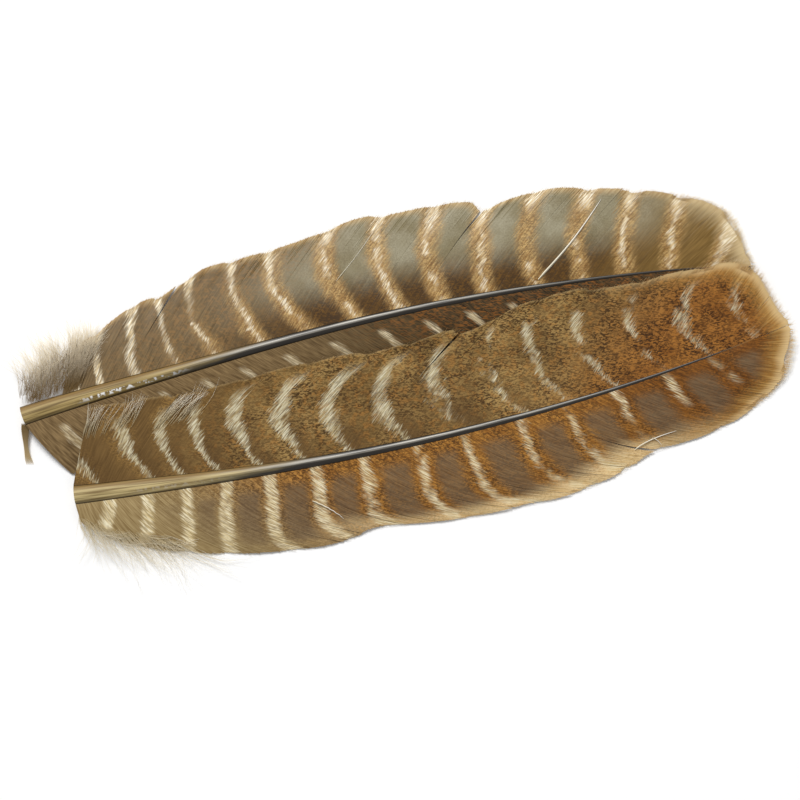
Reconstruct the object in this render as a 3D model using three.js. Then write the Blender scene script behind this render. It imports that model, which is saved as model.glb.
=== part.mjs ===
// Two barred wing feathers lying together on a flat surface, the front one partly over the rear one.
// Each feather is a hollow horny shaft with a pith core, a left and a right vane, and down at its cut end.
// Millimetres. +X runs from the cut ends to the tips, +Y is to the left of the shafts, +Z is up.
// A place on a feather is given by its share of the shaft, 0 at the cut end and 1 at the tip.

import * as THREE from 'three';

// ---------------------------------------------------------------- driving dimensions

const LEFT = 1;
const RIGHT = -1;
const GAP = 0.35; // clearance between solids that touch on a real feather
const SPLIT_GAP = 1.0; // length of shaft left free where a vane is divided

const SHAFT_WIDTHS = [6.3, 4.2, 2.9, 1.8, 0.5]; // at even shares of the shaft
const SHAFT_DEPTH_RATIO = 0.85; // depth of the shaft over its width
const SHAFT_UNDERSIDE = 0.8; // half-depth left below the axis by the flat underside
const SHAFT_SIDES = 12;
const CORTEX_BORE = 0.76; // bore of the horny wall over its outside
const BORE_END = 0.72; // share of the shaft where the bore ends
const PITH_END = 0.68;
const PITH_SIDES = 8;
const RING_SPACING = 9; // length of shaft between rings of points
const RESTING_SHARE = 0.1; // share of the shaft that lies flat on the surface

const VANE_THICKNESS = 0.8;
const VANE_ROWS = 5;
const VANE_COLUMN_SPACING = 4; // length of shaft between a vane's columns of points
const TIP_CROWDING = 1.7; // power that crowds the columns towards the very tip, where the barbs fan out
const FRINGE_ROWS = 2;
const VANE_HEIGHT_ON_SHAFT = 0.62; // where the vanes join, as a share of the shaft's depth
const VANE_EDGE_HEIGHT = 0.5; // middle of a vane's edge where it rests on the surface
const DROOP_POWER = 1.6;
const BARB_STEP = 0.5; // length of one step along a barb
const LONGEST_BARB = 75;
const SWEEP_LENGTH = 42; // length of barb over which it bends towards the tip
const TIP_NARROWING = 16; // power that closes the barbs up at the very tip
const BASE_SPREAD_SHARE = 0.05; // share of the shaft over which the barbs at the cut end stand out

const HINGE_SHARE = 0.43; // where the front feather's springy shaft is taken to bend
const REAR_SPLITS = { down: 0.075, leftBase: 0.15, leftMiddle: 0.56, right: 0.45 };
const FRONT_SPLITS = { rightBase: 0.27, rightUpper: 0.68 };
const FRINGE_END = 0.26; // share of the front shaft that the down on its left vane reaches
const TUFT_END = 0.09; // and the down on its right vane

const STRAY_RADIUS = 0.3;
const STRAY_STEPS = 8;
const STRIP_WIDTH = 1.3;
const STRIP_ROUTE = [[-123.2, -13.8, 2.6], [-122.9, -17.5, 1.7], [-121.8, -21, 0.9], [-122, -24.8, 0.6]];

const SHAFT_COLOUR = { cut: 0xaf965f, tip: 0x2d2823 };
const PITH_COLOUR = 0xe8dcc0;
const VANE_COLOURS = { rear: 0x96876a, front: 0x85643c };
const DOWN_COLOUR = 0xc8b9a5;
const STRAY_COLOUR = 0xe6dcc4;

// ---------------------------------------------------------------- the two feathers

// line: middle of the shaft seen from above. arch and tipRise: how far its underside stands off the
// surface. barbs: angle to the shaft at the root, what the cut end adds, and the bend towards the tip.
const REAR = {
  label: 'rear',
  line: [[-123.2, -9.2], [-82.4, 3], [-44, 13.5], [-5.6, 23.4], [32.8, 30.6], [71.2, 36.2], [104.8, 39]],
  arch: 3.2,
  tipRise: 0.3,
  barbs: {
    [LEFT]: { angle: 48, spread: 22, sweep: 11 },
    [RIGHT]: { angle: 47, spread: 24, sweep: 18 },
  },
};

const FRONT = {
  label: 'front',
  line: [[-106.6, -34.7], [-53.6, -27.8], [-2.4, -18.7], [48.8, -6], [85, 5.6], [100, 10.9], [111.5, 15.6]],
  arch: 2.2,
  tipRise: 2.6,
  barbs: {
    [LEFT]: { angle: 47, spread: 36, sweep: 12 },
    [RIGHT]: { angle: 48, spread: 34, sweep: 30 },
  },
  overlap: { cut: 6.5, tip: 3.9 }, // height of the left vane's edge, where it lies on the rear feather
};

// ---------------------------------------------------------------- the shaft

const radians = THREE.MathUtils.degToRad;
const lerp = THREE.MathUtils.lerp;

for (const feather of [REAR, FRONT]) {
  feather.path = new THREE.CatmullRomCurve3(feather.line.map(([x, y]) => new THREE.Vector3(x, y, 0)));
  feather.length = feather.path.getLength();
}

const widthCurve = new THREE.SplineCurve(
  SHAFT_WIDTHS.map((width, i) => new THREE.Vector2(i / (SHAFT_WIDTHS.length - 1), width)),
);

function shaftWidth(share) {
  return widthCurve.getPoint(share).y;
}

function shaftDepth(share) {
  return shaftWidth(share) * SHAFT_DEPTH_RATIO;
}

function shaftUnderside(feather, share) {
  const run = Math.max(0, (share - RESTING_SHARE) / (1 - RESTING_SHARE));
  return feather.arch * Math.sin(Math.PI * run) + feather.tipRise * run * run;
}

// Directions along and across the shaft, level with the surface.
function shaftFrame(feather, share) {
  const along = feather.path.getTangentAt(share);
  const across = new THREE.Vector3(-along.y, along.x, 0);
  return { point: feather.path.getPointAt(share), along, across };
}

// Bends a straight turned form, unit radius about +Y and one unit long, onto a stretch of the shaft.
function bendOntoShaft(geometry, feather, from, to, radiusAt) {
  const position = geometry.attributes.position;
  const vertex = new THREE.Vector3();
  for (let i = 0; i < position.count; i += 1) {
    vertex.fromBufferAttribute(position, i);
    const share = lerp(from, to, vertex.y);
    const { point, across } = shaftFrame(feather, share);
    const scale = radiusAt(share);
    const reach = Math.hypot(vertex.x, vertex.z);
    const raised = Math.max(vertex.z, -SHAFT_UNDERSIDE * reach) + SHAFT_UNDERSIDE;
    const floor = SHAFT_UNDERSIDE * (1 - scale) * SHAFT_DEPTH_RATIO;
    const halfWidth = shaftWidth(share) / 2;
    point.addScaledVector(across, -vertex.x * scale * halfWidth);
    point.z = shaftUnderside(feather, share);
    point.z += (raised * scale * SHAFT_DEPTH_RATIO + floor) * halfWidth;
    position.setXYZ(i, point.x, point.y, point.z);
  }
  return geometry;
}

// How many steps of about one spacing a stretch of the shaft is divided into.
function stepCount(feather, from, to, spacing) {
  return Math.ceil(((to - from) * feather.length) / spacing);
}

// A wall with a bore, open at its cut end, and at its far end too where the bore runs on.
function cortex(feather, from, to) {
  const boreEnd = Math.min(to, BORE_END);
  const runsThrough = boreEnd === to;
  const profile = [];
  const boreSteps = stepCount(feather, from, boreEnd, RING_SPACING);
  const outerSteps = stepCount(feather, from, to, RING_SPACING);
  const boreHeight = (boreEnd - from) / (to - from);
  if (!runsThrough) {
    profile.push(new THREE.Vector2(0, boreHeight));
  }
  for (let i = boreSteps; i >= 0; i -= 1) {
    profile.push(new THREE.Vector2(CORTEX_BORE, (boreHeight * i) / boreSteps));
  }
  for (let i = 0; i <= outerSteps; i += 1) {
    profile.push(new THREE.Vector2(1, i / outerSteps));
  }
  profile.push(runsThrough ? profile[0].clone() : new THREE.Vector2(0, 1));
  const form = new THREE.LatheGeometry(profile, SHAFT_SIDES);
  return bendOntoShaft(form, feather, from, to, () => 1);
}

function pith(feather, from, to) {
  const steps = stepCount(feather, from, to, RING_SPACING);
  const profile = [new THREE.Vector2(0, 0)];
  for (let i = 0; i <= steps; i += 1) {
    profile.push(new THREE.Vector2(1, i / steps));
  }
  profile.push(new THREE.Vector2(0, 1));
  const form = new THREE.LatheGeometry(profile, PITH_SIDES);
  const radiusAt = (share) => CORTEX_BORE - (2 * GAP) / shaftWidth(share);
  return bendOntoShaft(form, feather, from, to, radiusAt);
}

// ---------------------------------------------------------------- barbs and vanes

// Share of the barbs' full angle at a place on the shaft: all of it until the tip, where it closes up.
function openness(share) {
  return Math.sqrt(1 - share ** TIP_NARROWING);
}

// Where two short lines seen from above cross, as a share of the first, or null.
function crossing(a, b, c, d) {
  const first = b.clone().sub(a);
  const second = d.clone().sub(c);
  const scale = first.cross(second);
  if (scale === 0) {
    return null;
  }
  const between = c.clone().sub(a);
  const onFirst = between.cross(second) / scale;
  const onSecond = between.cross(first) / scale;
  return onFirst >= 0 && onFirst <= 1 && onSecond >= 0 && onSecond <= 1 ? onFirst : null;
}

// The path of one barb seen from above, from the side of the shaft until it meets the vane's edge.
function growBarb(feather, side, share, edge) {
  const { point, along, across } = shaftFrame(feather, share);
  const { angle, spread, sweep } = feather.barbs[side];
  const shaftHeading = Math.atan2(along.y, along.x);
  const rootAngle = angle + spread * Math.exp(-share / BASE_SPREAD_SHARE);
  const offset = side * (shaftWidth(share) / 2 + GAP);
  let end = new THREE.Vector2(point.x + across.x * offset, point.y + across.y * offset);
  const path = [end];
  for (let length = 0; length < LONGEST_BARB; length += BARB_STEP) {
    const bend = sweep * Math.min(1, length / SWEEP_LENGTH);
    const heading = shaftHeading + side * radians((rootAngle - bend) * openness(share));
    const next = new THREE.Vector2(Math.cos(heading), Math.sin(heading)).multiplyScalar(BARB_STEP).add(end);
    for (let i = 1; i < edge.length; i += 1) {
      const cut = crossing(end, next, edge[i - 1], edge[i]);
      if (cut !== null) {
        path.push(end.clone().lerp(next, cut));
        return path;
      }
    }
    path.push(next);
    end = next;
  }
  return path;
}

function pointOnBarb(path, fraction) {
  const place = fraction * (path.length - 1);
  const before = Math.min(Math.floor(place), path.length - 2);
  return path[before].clone().lerp(path[before + 1], place - before);
}

// Height of the middle of a vane, fraction being 0 at the shaft and 1 at the edge.
function vaneHeight(feather, side, share, fraction) {
  const root = shaftUnderside(feather, share) + shaftDepth(share) * VANE_HEIGHT_ON_SHAFT;
  if (feather.overlap && side === LEFT) {
    return lerp(root, lerp(feather.overlap.cut, feather.overlap.tip, share), fraction);
  }
  return lerp(root, VANE_EDGE_HEIGHT, fraction ** DROOP_POWER);
}

function edgeLine(points) {
  return new THREE.SplineCurve(points.map(([x, y]) => new THREE.Vector2(x, y))).getPoints(points.length * 6);
}

// A closed sheet over a run of barbs. startOf gives how far along a barb's path the sheet begins.
function sheet(feather, side, from, to, edge, rows, startOf) {
  const outline = edgeLine(edge);
  const columns = Math.max(4, stepCount(feather, from, to, VANE_COLUMN_SPACING));
  const form = new THREE.BoxGeometry(1, 1, 1, columns, rows, 1);
  const position = form.attributes.position;
  const barbs = new Map();
  for (let i = 0; i < position.count; i += 1) {
    const across = side === LEFT ? position.getX(i) + 0.5 : 0.5 - position.getX(i);
    const share = lerp(from, to, to === 1 ? 1 - (1 - across) ** TIP_CROWDING : across);
    if (!barbs.has(share)) {
      barbs.set(share, growBarb(feather, side, share, outline));
    }
    const barb = barbs.get(share);
    const fraction = lerp(startOf(share, barb), 1, position.getY(i) + 0.5);
    const place = pointOnBarb(barb, fraction);
    const height = vaneHeight(feather, side, share, fraction) + position.getZ(i) * VANE_THICKNESS;
    position.setXYZ(i, place.x, place.y, height);
  }
  return form;
}

// A vane panel between two shares of the shaft, with clearance where it meets the next panel.
function vanePanel(feather, side, from, to, edge) {
  const margin = SPLIT_GAP / 2 / feather.length;
  const start = from === 0 ? from : from + margin;
  const end = to === 1 ? to : to - margin;
  return sheet(feather, side, start, end, edge, VANE_ROWS, () => 0);
}

// Down at the cut end, which carries the barbs on past the vane's edge as far as an outer edge.
function downFringe(feather, side, to, vaneEdge, outerEdge) {
  const inner = edgeLine(vaneEdge);
  const startOf = (share, barb) => (growBarb(feather, side, share, inner).length + 1) / barb.length;
  return sheet(feather, side, 0, to, outerEdge, FRINGE_ROWS, startOf);
}

// A single barb lying loose on top of a vane.
function strayBarb(feather, side, share, edge, startsAt, endsAt) {
  const path = growBarb(feather, side, share, edgeLine(edge));
  const points = [];
  for (let i = 0; i <= STRAY_STEPS; i += 1) {
    const fraction = lerp(startsAt, endsAt, i / STRAY_STEPS);
    const place = pointOnBarb(path, fraction);
    const height = vaneHeight(feather, side, share, fraction) + VANE_THICKNESS / 2 + GAP + STRAY_RADIUS;
    points.push(new THREE.Vector3(place.x, place.y, height));
  }
  const section = new THREE.Shape();
  section.absarc(0, 0, STRAY_RADIUS, 0, 2 * Math.PI);
  const extrudePath = new THREE.CatmullRomCurve3(points);
  return new THREE.ExtrudeGeometry(section, { steps: STRAY_STEPS, curveSegments: 6, extrudePath });
}

// A narrow strip of vane hanging loose from a cut end.
function looseStrip() {
  const path = new THREE.CatmullRomCurve3(STRIP_ROUTE.map((place) => new THREE.Vector3(...place)));
  const form = new THREE.BoxGeometry(1, 1, 1, 2 * STRIP_ROUTE.length, 1, 1);
  const position = form.attributes.position;
  for (let i = 0; i < position.count; i += 1) {
    const share = position.getX(i) + 0.5;
    const along = path.getTangentAt(share);
    const across = new THREE.Vector3(-along.y, along.x, 0).normalize();
    const place = path.getPointAt(share).addScaledVector(across, position.getY(i) * STRIP_WIDTH);
    position.setXYZ(i, place.x, place.y, place.z + position.getZ(i) * VANE_THICKNESS);
  }
  return form;
}

// ---------------------------------------------------------------- the edges of the vanes

const REAR_DOWN_EDGE = [[-132, 6], [-124, 10], [-119, 14], [-111, 19], [-103, 23], [-94, 25]];
const REAR_LEFT_BASE_EDGE = [
  [-112, 2], [-102, 13], [-95, 22.4], [-89.4, 26.6], [-84.6, 28.5], [-77, 30], [-66, 32],
];
const REAR_LEFT_EDGE = [
  [-84, 30], [-73, 35.5], [-62.6, 39.7], [-47.8, 43.5], [-34, 47.4], [-16.2, 54.5], [-1.8, 56.3], [9.8, 59.2],
  [22.9, 60.2], [34, 59.5], [46, 60],
];
const REAR_LEFT_TIP_EDGE = [
  [22, 60.4], [32, 60], [40.8, 63.7], [53.3, 64.4], [79.5, 63.4], [97.8, 59.5], [106.7, 52.8], [111, 45],
  [112.6, 37], [111, 30],
];
const REAR_RIGHT_EDGE = [
  [-116, -31], [-100, -25.5], [-80, -18], [-40, -8], [0, 3], [40, 11], [80, 20], [100, 28], [110, 36],
  [112.6, 44],
];
const FRONT_LEFT_DOWN_EDGE = [
  [-116, -9], [-103, -3.5], [-92, -0.5], [-78, 1.2], [-67.7, 2.8], [-52, 7], [-40.5, 10], [-18, 14], [-8, 15],
];
const FRONT_LEFT_EDGE = [
  [-116, -13], [-103, -7], [-92, -4], [-78, -2.8], [-67.7, -1.3], [-52, 2.9], [-40.5, 6.1], [-18.1, 10.9],
  [-8, 12], [9.8, 17], [17.1, 20.2], [26, 23],
];
const FRONT_LEFT_TIP_EDGE = [
  [8, 13], [19.4, 17.6], [29.3, 22.4], [35, 26.2], [56.8, 32.4], [65.4, 32.2], [93.6, 38.7], [105.4, 40.5],
  [112, 37.8], [116, 33], [121, 26], [124, 20], [124.6, 14],
];
const FRONT_RIGHT_DOWN_EDGE = [
  [-112, -54], [-95, -58], [-84, -62.5], [-76, -64], [-64, -61], [-50, -57], [-20, -55],
];
const FRONT_RIGHT_BASE_EDGE = [
  [-112, -47], [-98.1, -50.2], [-80.8, -52.4], [-62.9, -53.8], [-39.5, -53.4], [-26.1, -51.5], [-18.4, -49.6],
  [-8, -45.5], [4, -42],
];
const FRONT_RIGHT_EDGE = [
  [-22, -48], [-9.4, -44.4], [0.5, -44.5], [13.6, -42.9], [38.9, -39], [61.6, -31.4], [71, -26.6],
  [79.2, -22], [92, -16],
];
const FRONT_RIGHT_TIP_EDGE = [
  [66, -26], [79.2, -21.5], [90, -17.9], [104.2, -12.2], [115.4, -3.5], [121, 2.5], [123.7, 8], [124.6, 15],
  [124, 21],
];

// ---------------------------------------------------------------- assembly

const group = new THREE.Group();

function add(name, geometry, color, roughness) {
  const mesh = new THREE.Mesh(geometry, new THREE.MeshStandardMaterial({ color, roughness, metalness: 0 }));
  mesh.name = name;
  group.add(mesh);
}

function addShaft(name, feather, from, to, color) {
  add(`${name}_cortex`, cortex(feather, from, to), color, 0.3);
  add(`${name}_pith`, pith(feather, from, Math.min(to, PITH_END)), PITH_COLOUR, 0.9);
}

function addVane(name, feather, side, from, to, edge) {
  add(name, vanePanel(feather, side, from, to, edge), VANE_COLOURS[feather.label], 0.7);
}

function addDown(name, geometry) {
  add(name, geometry, DOWN_COLOUR, 0.9);
}

function addStray(name, feather, side, share, edge, startsAt, endsAt) {
  add(name, strayBarb(feather, side, share, edge, startsAt, endsAt), STRAY_COLOUR, 0.6);
}

// Bares a cut in the front shaft for the hinge that stands in for its springiness.
const hingeMargin = GAP / 2 / FRONT.length;

addShaft('rear_shaft', REAR, 0, 1, SHAFT_COLOUR.cut);
addVane('rear_left_vane_base', REAR, LEFT, REAR_SPLITS.down, REAR_SPLITS.leftBase, REAR_LEFT_BASE_EDGE);
addVane('rear_left_vane_middle', REAR, LEFT, REAR_SPLITS.leftBase, REAR_SPLITS.leftMiddle, REAR_LEFT_EDGE);
addVane('rear_left_vane_tip', REAR, LEFT, REAR_SPLITS.leftMiddle, 1, REAR_LEFT_TIP_EDGE);
addVane('rear_right_vane_base', REAR, RIGHT, 0, REAR_SPLITS.right, REAR_RIGHT_EDGE);
addVane('rear_right_vane_tip', REAR, RIGHT, REAR_SPLITS.right, 1, REAR_RIGHT_EDGE);
addDown('rear_left_down', vanePanel(REAR, LEFT, 0, REAR_SPLITS.down, REAR_DOWN_EDGE));
add('rear_loose_strip', looseStrip(), VANE_COLOURS.rear, 0.7);
addStray('rear_stray_barb', REAR, LEFT, 0.725, REAR_LEFT_TIP_EDGE, 0.05, 0.9);

addShaft('front_shaft_base', FRONT, 0, HINGE_SHARE - hingeMargin, SHAFT_COLOUR.cut);
addShaft('front_shaft_tip', FRONT, HINGE_SHARE + hingeMargin, 1, SHAFT_COLOUR.tip);
addVane('front_left_vane_base', FRONT, LEFT, 0, HINGE_SHARE, FRONT_LEFT_EDGE);
addVane('front_left_vane_tip', FRONT, LEFT, HINGE_SHARE, 1, FRONT_LEFT_TIP_EDGE);
addVane('front_right_vane_base', FRONT, RIGHT, 0, FRONT_SPLITS.rightBase, FRONT_RIGHT_BASE_EDGE);
addVane('front_right_vane_lower', FRONT, RIGHT, FRONT_SPLITS.rightBase, HINGE_SHARE, FRONT_RIGHT_EDGE);
addVane('front_right_vane_upper', FRONT, RIGHT, HINGE_SHARE, FRONT_SPLITS.rightUpper, FRONT_RIGHT_EDGE);
addVane('front_right_vane_tip', FRONT, RIGHT, FRONT_SPLITS.rightUpper, 1, FRONT_RIGHT_TIP_EDGE);
addDown('front_left_down', downFringe(FRONT, LEFT, FRINGE_END, FRONT_LEFT_EDGE, FRONT_LEFT_DOWN_EDGE));
addDown('front_right_down', downFringe(FRONT, RIGHT, TUFT_END, FRONT_RIGHT_BASE_EDGE, FRONT_RIGHT_DOWN_EDGE));
addStray('front_stray_barb', FRONT, RIGHT, 0.3, FRONT_RIGHT_EDGE, 0.4, 0.8);

// The origin is on the surface, under the middle of the pair.
const extent = new THREE.Box3().setFromObject(group);
const middle = extent.getCenter(new THREE.Vector3());
group.position.set(-middle.x, -middle.y, -extent.min.z);

export default group;
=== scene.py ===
"""Looks for a pair of barred wing feathers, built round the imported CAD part. Blender 4.5, metres, +Z up.

A feather is grown the way a real one is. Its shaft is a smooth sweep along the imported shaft. Its
vanes are barbs that leave the shaft one after another, bend towards the tip and stop at the edge of
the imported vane. A place on a feather is a share of the shaft, 0 at the cut end and 1 at the tip, and
a reach along a barb in millimetres.
"""

import math
import random

import bpy
import numpy as np
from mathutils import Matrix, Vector
from mathutils.bvhtree import BVHTree
from numpy.polynomial import Polynomial


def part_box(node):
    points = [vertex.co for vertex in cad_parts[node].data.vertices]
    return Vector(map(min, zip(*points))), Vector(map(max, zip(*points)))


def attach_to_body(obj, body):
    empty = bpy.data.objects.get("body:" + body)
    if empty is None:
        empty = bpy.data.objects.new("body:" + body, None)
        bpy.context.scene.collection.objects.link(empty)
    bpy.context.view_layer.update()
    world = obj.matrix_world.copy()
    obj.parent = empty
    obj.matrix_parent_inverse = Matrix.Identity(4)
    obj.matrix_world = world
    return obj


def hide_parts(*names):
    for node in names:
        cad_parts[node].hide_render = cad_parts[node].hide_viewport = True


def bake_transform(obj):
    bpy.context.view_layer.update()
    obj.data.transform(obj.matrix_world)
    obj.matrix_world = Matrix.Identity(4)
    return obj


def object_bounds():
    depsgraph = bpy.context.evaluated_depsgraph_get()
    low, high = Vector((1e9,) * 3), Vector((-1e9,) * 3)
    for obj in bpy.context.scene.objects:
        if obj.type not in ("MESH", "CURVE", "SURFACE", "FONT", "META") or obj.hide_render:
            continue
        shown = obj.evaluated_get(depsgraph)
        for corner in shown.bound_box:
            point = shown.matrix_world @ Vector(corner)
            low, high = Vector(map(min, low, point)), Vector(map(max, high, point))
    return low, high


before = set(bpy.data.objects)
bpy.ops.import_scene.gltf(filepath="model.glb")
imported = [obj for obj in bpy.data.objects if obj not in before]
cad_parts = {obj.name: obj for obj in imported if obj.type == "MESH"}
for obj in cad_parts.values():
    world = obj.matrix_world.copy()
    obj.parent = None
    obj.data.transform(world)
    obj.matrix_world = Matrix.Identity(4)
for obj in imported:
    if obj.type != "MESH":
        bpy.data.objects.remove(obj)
cad_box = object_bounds()

MM = 0.001
LEFT, RIGHT = 1, -1
SEED = 20
SHARP_ANGLE = 50

# ---------------- driving values, in millimetres

BARB_PITCH = 0.75  # length of shaft between barbs
BARB_STEP = 0.6  # one step along a barb
BARB_ROWS = 30
BARB_SHARES = np.linspace(0, 1, BARB_ROWS + 1)  # where a barb's points lie, from root to tip
LONGEST_BARB = 75
BARB_FIT_DEGREE = 3
FEWEST_STEPS = 5  # steps over a packed panel that a barb needs to be read from it
HEIGHT_SMOOTHING = 12  # barbs over which the height of the vane is rounded off
EDGE_GAP_BRIDGED = 2.5  # clearance between packed panels that a barb grows across
ROOT_INSET = 0.15  # how far a barb's root is sunk into the shaft's wall
RIDGE = 0.07  # how far a barb stands above the furrow beside it
TOOTH = 0.6  # how far a barb's tip stands out past the furrow beside it
EDGE_SMOOTHING = {LEFT: 8, RIGHT: 15}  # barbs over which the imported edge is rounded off
SCALLOP = 1.1  # how far the edge is worn back where a pale bar meets it
SCALLOP_WIDTH = 0.16  # half the width of that wear, in bars
ROOT_THICKNESS = 0.34
TIP_THICKNESS = 0.12
SWEEP_LENGTH = 42  # length of barb over which it bends towards the tip
BASE_SPREAD_SHARE = 0.05  # share of the shaft over which the barbs at the cut end stand out
TIP_NARROWING = 16  # power that closes the barbs up at the very tip
TIP_JOINED_FROM = 0.86  # share of the shaft past which the two vanes run together
TIP_ROUNDING = 1.6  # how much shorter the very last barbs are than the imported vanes
BAR_BEND = 1.6  # power that turns a pale bar from running back to following the barbs
BAR_LEAN = 1.2  # steepest that a pale bar runs back, in millimetres for each one of reach
PAST_LIST = 1.5  # bars from the list's first and last bar to the one past each
BAR_RELIEF = 0.3  # how far the vane sinks at a pale bar
CAD_VANE_THICKNESS = 0.8

CLUMP_BARBS = (9, 26)  # fewest and most barbs that cling together
CLUMP_GAP = 0.13  # widest opening between two clumps at the edge
GAP_START = (0.25, 0.7)  # fraction of a barb past which the opening beside it widens
GAP_REACH = 3  # barbs beside an opening that its push is spread over
CLUMP_TILT = 0.35  # how far one side of a clump is lifted at the edge
TILT_FADES = (0.85, 0.97)  # shares of the shaft between which clumps come level
CLUMP_LENGTH = 0.5  # how much one clump is longer than another
SPLIT_GAP = 0.7  # opening at a place where the vane is torn

FRINGE_WIDTH = 0.12
FRINGE_START = 0.94  # fraction of a barb at which its loose end starts
FRINGE_LENGTH = 1.1  # longest loose end standing out past a vane's edge
TIP_FRINGE_LENGTH = 2.4  # and round the tip of the feather
TIP_FRINGE_STRANDS = 12  # loose ends on each barb there
TIP_FRINGE_GROWS = (0.78, 0.95)  # shares of the shaft between which the fringe grows to that

SHAFT_RINGS = 260
SHAFT_SIDES = 36
ROUND_SHAFT = np.arange(SHAFT_SIDES) * math.tau / SHAFT_SIDES
SHAFT_INSET = 2.5  # from a packed shaft's cut end to its first slice; half as far from tip to last
CUT_DEPTH = 2.2  # length of shaft within which its slanting cut end lies
THINNEST_SHAFT = 0.16  # half its width at the tip
SHAFT_UNDERSIDE = 0.8  # half-depth left below the axis by the flat underside
CORTEX_BORE = 0.78  # bore of the horny wall over its outside
BORE_END = 0.72  # share of the shaft where the bore ends
PITH_END = 0.68
PITH_CLEARANCE = 0.04  # between pith and wall, as a share of the shaft's width
PITH_RECESS = 0.004  # share of the shaft by which the pith stops short of the cut

STRAND_RINGS = 12
STRAND_WIDTH = 0.15
WAVINESS = 0.3  # how far a thread waves, as a share of its curl
TUFT_END = 0.085  # share of the rear shaft that carries down on its left
TUFT_OVERLAP = 0.025  # share of it over which the down and the vane run together
REAR_DOWN_LENGTHS = (10, 20)  # at the cut end and beside the vane
THREADS_IN_BUNCH = 11
DOWN_LIFT = 1.2  # how far a thread may stand up off the vane
BUNCH_SPREAD = 1.0  # length of shaft over which the threads of one bunch leave it
STRAY_CLEARANCE = 0.5  # height of a loose barb's middle above the vane's
STRIP_WIDTH = 2.2  # the strip of vane that hangs loose at the cut end
STRIP_BARBS = 7
STRIP_RINGS = 20
STRIP_CLEARANCE = 0.1
STRIP_FILL = 2.2  # width of its barbs over the room each has, so that they close up
STRIP_OVERLAP = 2.0  # how far it reaches in under the shaft


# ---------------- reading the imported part

def node_points(names):
    """All the vertices of some CAD nodes, in millimetres."""
    return np.array([v.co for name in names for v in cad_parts[name].data.vertices]) / MM


def node_edges(names):
    """Both ends of every edge of some CAD nodes, in millimetres."""
    ends = []
    for name in names:
        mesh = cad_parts[name].data
        ends += [[mesh.vertices[i].co for i in edge.vertices] for edge in mesh.edges]
    return np.array(ends) / MM


class Shaft:
    """A packed shaft as smooth curves over x: its middle, half width, underside and top."""

    FIT_DEGREE = 6
    SLICES = 70
    STEPS = 600

    def __init__(self, nodes):
        points = node_points(nodes)
        edges = node_edges(nodes)
        cut, self.end = points[:, 0].min(), points[:, 0].max()
        rows = []
        for x in np.linspace(cut + SHAFT_INSET, self.end - SHAFT_INSET / 2, self.SLICES):
            crossing = edges[(edges[:, :, 0].min(1) <= x) & (edges[:, :, 0].max(1) > x)]
            start, end = crossing[:, 0], crossing[:, 1]
            along = (x - start[:, 0]) / (end[:, 0] - start[:, 0])
            hits = start + (end - start) * along[:, None]
            if len(hits) > 3:
                rows.append((x, hits[:, 1].min(), hits[:, 1].max(), hits[:, 2].min(), hits[:, 2].max()))
        x, low_y, high_y, low_z, high_z = np.array(rows).T
        self.middle = Polynomial.fit(x, (low_y + high_y) / 2, self.FIT_DEGREE)
        slope = self.middle.deriv()(x)
        half_width = (high_y - low_y) / 2 / np.sqrt(1 + slope ** 2)
        self.half_width = Polynomial.fit(x, half_width, self.FIT_DEGREE)
        self.underside = Polynomial.fit(x, low_z, self.FIT_DEGREE)
        self.top = Polynomial.fit(x, high_z, self.FIT_DEGREE)
        first = points[points[:, 0] < cut + CUT_DEPTH]
        self.start = (cut + first[:, 0].max()) / 2
        self.x = np.linspace(self.start, self.end, self.STEPS)
        steps = np.hypot(np.diff(self.x), np.diff(self.middle(self.x)))
        self.run = np.concatenate([[0], np.cumsum(steps)])
        self.length = self.run[-1]

    def at(self, share):
        """Point seen from above, heading in radians and half width at shares of the shaft."""
        x = np.interp(np.asarray(share) * self.length, self.run, self.x)
        heading = np.arctan(self.middle.deriv()(x))
        width = np.maximum(self.half_width(x), THINNEST_SHAFT)
        return x, self.middle(x), heading, width


class Surface:
    """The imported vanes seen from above: how high they are, and where there is none."""

    def __init__(self, nodes):
        vertices, faces = [], []
        for name in nodes:
            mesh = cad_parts[name].data
            first = len(vertices)
            vertices += [tuple(v.co / MM) for v in mesh.vertices]
            faces += [tuple(first + i for i in p.vertices) for p in mesh.polygons]
        self.tree = BVHTree.FromPolygons(vertices, faces)

    def height(self, x, y):
        """Height of the vane's middle, or None past its edge."""
        hit = self.tree.ray_cast(Vector((x, y, 100)), Vector((0, 0, -1)))[0]
        return None if hit is None else hit.z - CAD_VANE_THICKNESS / 2


def smooth(values, spread):
    """Averages each number with its neighbours, with a bell-shaped weight."""
    reach = int(3 * spread)
    kernel = np.exp(-0.5 * (np.arange(-reach, reach + 1) / spread) ** 2)
    padded = np.pad(values, reach, mode="reflect", reflect_type="odd")
    return np.convolve(padded, kernel / kernel.sum(), mode="valid")


def ease(value, start=0.0, end=1.0):
    """0 before start, 1 after end and a smooth rise between."""
    t = np.clip((value - start) / (end - start), 0, 1)
    return t * t * (3 - 2 * t)


# ---------------- barbs

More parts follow.
